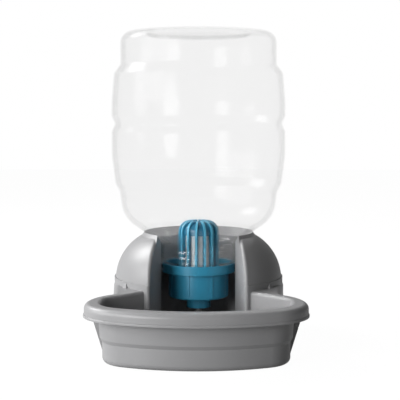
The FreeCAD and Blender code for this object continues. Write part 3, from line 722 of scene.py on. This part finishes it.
@dataclass
class WaterBottle:
    """The clear bottle, upside down, with soft blown bands, a grip groove and a pushed-up bottom.

    Radii are the outside's. The two rings round the neck stand for its thread and its collar.
    """

    dresser: Dresser
    lip_z: float = 67.5 * MM
    finish_r: float = 33.6 * MM
    finish_z: float = 73.4 * MM
    finish_round: float = 0.2 * MM
    bead_r: float = 38.0 * MM
    bead_top_z: float = 75.8 * MM
    bead_slope: float = 0.7 * MM
    bead_round: float = 0.8 * MM
    bead_foot_round: float = 0.5 * MM
    neck_r: float = 37.5 * MM
    ring_r: float = 38.1 * MM
    ring_heights: tuple[float, ...] = (80.2 * MM, 85.4 * MM)
    ring_half: float = 2.1 * MM
    neck_top_z: float = 92.45 * MM
    neck_round: float = 6.0 * MM
    shoulder_r: float = 75.0 * MM
    shoulder_z: float = 118.75 * MM
    shoulder_round: float = 30.0 * MM
    flank_r: float = 78.3 * MM
    flank_z: float = 144.5 * MM
    lower_band_r: float = 82.7 * MM
    lower_band_z: float = 153.0 * MM
    body_r: float = 86.0 * MM
    body_z: float = 180.0 * MM
    body_round: float = 40.0 * MM
    groove_z: float = 211.5 * MM
    groove_half: float = 8.0 * MM
    groove_r: float = 82.7 * MM
    groove_lower_r: float = 86.1 * MM
    groove_upper_r: float = 86.0 * MM
    belt_r: float = 85.8 * MM
    belt_z: float = 234.0 * MM
    upper_band_r: float = 83.5 * MM
    upper_band_z: float = 261.0 * MM
    crown_r: float = 77.0 * MM
    crown_z: float = 270.0 * MM
    crown_round: float = 11.0 * MM
    top_z: float = 302.0 * MM
    push_up_rim_r: float = 53.0 * MM
    push_up_r: float = 48.0 * MM
    push_up_z: float = 298.0 * MM
    centre_ring_r: float = 12.0 * MM
    last_ring_r: float = 4.0 * MM
    soft: float = 3.0 * MM
    wall: float = 1.2 * MM
    sharp_degrees: float = 40.0
    segments: int = 128
    corner_steps: int = 7

    def ring(self, height: float) -> list[Station]:
        """Stations of one soft ring round the neck."""
        quarter = self.ring_half / 4
        return [
            Station(self.neck_r, height - self.ring_half, quarter),
            Station(self.ring_r, height - quarter, quarter),
            Station(self.ring_r, height + quarter, quarter),
            Station(self.neck_r, height + self.ring_half, quarter),
        ]

    def neck(self) -> list[Station]:
        """Half section from the lip up to the foot of the shoulder."""
        return [
            Station(self.finish_r, self.lip_z),
            Station(self.finish_r, self.finish_z, self.finish_round),
            Station(self.bead_r, self.finish_z, self.bead_round),
            Station(self.bead_r, self.bead_top_z, self.bead_round),
            Station(self.neck_r, self.bead_top_z + self.bead_slope, self.bead_foot_round),
            *(station for height in self.ring_heights for station in self.ring(height)),
            Station(self.neck_r, self.neck_top_z, self.neck_round),
        ]

    def body(self) -> list[Station]:
        """Half section from the shoulder up to the crown."""
        return [
            Station(self.shoulder_r, self.shoulder_z, self.shoulder_round),
            Station(self.flank_r, self.flank_z, self.soft),
            Station(self.lower_band_r, self.lower_band_z, self.soft),
            Station(self.body_r, self.body_z, self.body_round),
            Station(self.groove_lower_r, self.groove_z - self.groove_half, self.soft),
            Station(self.groove_r, self.groove_z, self.soft),
            Station(self.groove_upper_r, self.groove_z + self.groove_half, self.soft),
            Station(self.belt_r, self.belt_z, self.body_round),
            Station(self.upper_band_r, self.upper_band_z, self.soft),
            Station(self.crown_r, self.crown_z, self.soft),
        ]

    def top(self) -> list[Station]:
        """Half section of the bottom, which is on top here, from its edge to near its middle."""
        return [
            Station(self.crown_r, self.top_z, self.crown_round),
            Station(self.push_up_rim_r, self.top_z, self.soft),
            Station(self.push_up_r, self.push_up_z, self.soft),
            Station(self.centre_ring_r, self.push_up_z),
            Station(self.last_ring_r, self.push_up_z),
        ]

    def build(self) -> None:
        """Blow the bottle and dress it."""
        rings = rounded_path([*self.neck(), *self.body(), *self.top()], self.corner_steps)
        bottle = Bench.turned("bottle_skin", rings, axis_of(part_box("bottle")), self.segments)
        Bench.modify(bottle, "SOLIDIFY", thickness=self.wall, offset=-1.0, use_even_offset=True)
        Bench.smooth(bottle, self.sharp_degrees)
        self.dresser.dress(bottle, CLEAR.build(), Body.STAND, Slot.BOTTLE, ["bottle"])


@dataclass
class CapAndFilter:
    """The blue screw cap with its gasket and the filter that stands on it."""

    dresser: Dresser

    def build(self) -> None:
        """Dress the cap, the retainer, the cage, the cartridge and the gasket."""
        blue = BLUE_CAP.build()
        cage = BLUE_CAGE.build(axis_of(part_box("filter_cage")))
        plan = [
            ("bottle_cap", "cap_skin", blue, Body.CAP, Slot.CAP),
            ("spring_retainer", "retainer_skin", blue, Body.CAP, Slot.CAP),
            ("filter_cage", "cage_skin", cage, Body.CAP, Slot.CAGE),
            ("filter_cartridge", "cartridge_skin", WHITE_SHELL.build(), Body.CAP, Slot.FILTER),
            ("cap_gasket", "gasket_skin", SEAL.build(), Body.GASKET, Slot.SEAL),
        ]
        for node, name, finish, body, slot in plan:
            skin = Bench.copy_of(node, name)
            self.dresser.dress(skin, finish, body, slot, [node])


@dataclass
class ValveTrain:
    """The plunger, its seal and the spring that closes it."""

    dresser: Dresser

    def build(self) -> None:
        """Dress the three pieces."""
        plan = [
            ("valve_stem", "stem_skin", VALVE_PLASTIC.build(), Body.VALVE, Slot.VALVE),
            ("valve_seal", "seal_skin", SEAL.build(), Body.VALVE, Slot.SEAL),
            ("valve_spring", "spring_skin", WIRE.build(), Body.CAP, Slot.SPRING),
        ]
        for node, name, finish, body, slot in plan:
            skin = Bench.copy_of(node, name)
            self.dresser.dress(skin, finish, body, slot, [node])


@dataclass(frozen=True)
class Lamp:
    """One soft box with a round or an oval front, turned towards the object."""

    name: str
    place: Place
    width: float
    height: float
    watts: float
    aim: Place = (0.0, 0.0, 0.1)

    def build(self) -> None:
        """Hang the lamp."""
        data = bpy.data.lights.new(self.name, "AREA")
        data.shape = "ELLIPSE"
        data.size = self.width
        data.size_y = self.height
        data.energy = self.watts
        lamp = bpy.data.objects.new(self.name, data)
        bpy.context.scene.collection.objects.link(lamp)
        lamp.location = self.place
        towards = Vector(self.aim) - Vector(self.place)
        lamp.rotation_euler = towards.to_track_quat("-Z", "Y").to_euler()


@dataclass
class Studio:
    """White floor, white world, soft boxes and the camera.

    The camera's place is taken from the bottle's axis, and its orbit and tilt are in degrees.
    """

    camera_back: float = 1.0572
    camera_up: float = 0.2253
    camera_across: float = 0.00144
    camera_orbit: float = 0.9
    camera_tilt: float = 4.86
    focal: float = 95.6
    sensor: float = 36.0
    floor_half: float = 3.0
    floor_white: float = 0.4
    floor_glow: float = 0.9
    floor_shine: float = 1.09
    world_white: float = 1.0
    ambient: float = 0.078
    mirror_grey: float = 0.3
    lamps: tuple[Lamp, ...] = (
        Lamp("rear_left", (-0.96, 0.45, 0.93), 0.6, 0.6, 15.5),
        Lamp("key_left", (-1.28, -0.23, 0.45), 0.6, 0.6, 7.0),
        Lamp("side_left", (-1.04, -0.73, 0.56), 0.6, 0.6, 6.5),
        Lamp("front_left", (-0.77, -1.1, 0.3), 0.5, 0.5, 10.5),
        Lamp("back_top", (0.25, 1.1, 1.3), 0.9, 0.5, 2.5, aim=(0.0, 0.0, 0.15)),
    )

    @staticmethod
    def by_ray(wiring: Wiring, plain: float, seen: float, mirrored: float) -> Signal:
        """A number that depends on what looks at the studio.

        Args:
            wiring: The node tree to add to.
            plain: What diffuse rays meet.
            seen: What the camera meets, also through clear walls.
            mirrored: What reflections meet.

        Returns:
            The number.
        """
        path = wiring.node("ShaderNodeLightPath")
        rays = {ray: Signal(wiring, path.outputs[ray.value]) for ray in Ray}
        direct = rays[Ray.CAMERA].at_least(rays[Ray.TRANSMISSION])
        mirror = rays[Ray.GLOSSY] * (1.0 - direct)
        return plain + direct * (seen - plain) + mirror * (mirrored - plain)

    def build_world(self) -> None:
        """A dim world that looks white."""
        world = bpy.data.worlds.new("studio_world")
        bpy.context.scene.world = world
        world.use_nodes = True
        wiring = Wiring(world.node_tree)
        strength = self.by_ray(wiring, self.ambient, self.world_white, self.mirror_grey)
        backdrop = wiring.node("ShaderNodeBackground", values={"Color": WHITE, "Strength": strength})
        wiring.node("ShaderNodeOutputWorld", values={"Surface": backdrop.outputs[0]})

    def build_floor(self) -> None:
        """A white floor that keeps a faint shadow."""
        Bench.clear()
        bpy.ops.mesh.primitive_plane_add(size=2 * self.floor_half)
        floor = bpy.context.object
        floor.name = "floor"
        material, wiring = new_material("white_floor")
        white = (self.floor_white, self.floor_white, self.floor_white, 1.0)
        matt = wiring.node("ShaderNodeBsdfDiffuse", values={"Color": white})
        glow = wiring.node("ShaderNodeEmission", values={"Color": WHITE, "Strength": self.floor_shine})
        share = self.by_ray(wiring, 0.0, self.floor_glow, self.mirror_grey * self.floor_glow)
        wiring.show(wiring.blend(share, matt, glow))
        floor.data.materials.append(material)

    def build_camera(self) -> None:
        """The camera at the photograph's place, seen from the bottle's axis."""
        _, axis_y = axis_of(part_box("bottle"))
        data = bpy.data.cameras.new("camera")
        data.lens = self.focal
        data.sensor_width = self.sensor
        camera = bpy.data.objects.new("camera", data)
        bpy.context.scene.collection.objects.link(camera)
        orbit = math.radians(self.camera_orbit)
        seat = Vector((self.camera_across, -self.camera_back, self.camera_up))
        seat.rotate(Euler((0.0, 0.0, orbit)))
        camera.location = seat + Vector((0.0, axis_y, 0.0))
        camera.rotation_euler = (math.radians(90.0 - self.camera_tilt), 0.0, orbit)
        bpy.context.scene.camera = camera

    def build(self) -> None:
        """Set up the studio."""
        self.build_camera()
        self.build_world()
        self.build_floor()
        for lamp in self.lamps:
            lamp.build()
        bpy.context.scene.view_settings.view_transform = "Standard"


def main() -> None:
    """Build the object and its studio."""
    dresser = Dresser()
    StandBase(dresser).build()
    WaterBottle(dresser).build()
    CapAndFilter(dresser).build()
    ValveTrain(dresser).build()
    Studio().build()
    log.info("%d pieces dressed", len(dresser.made))
    Bench.clear()


if __name__ == "__main__":
    main()
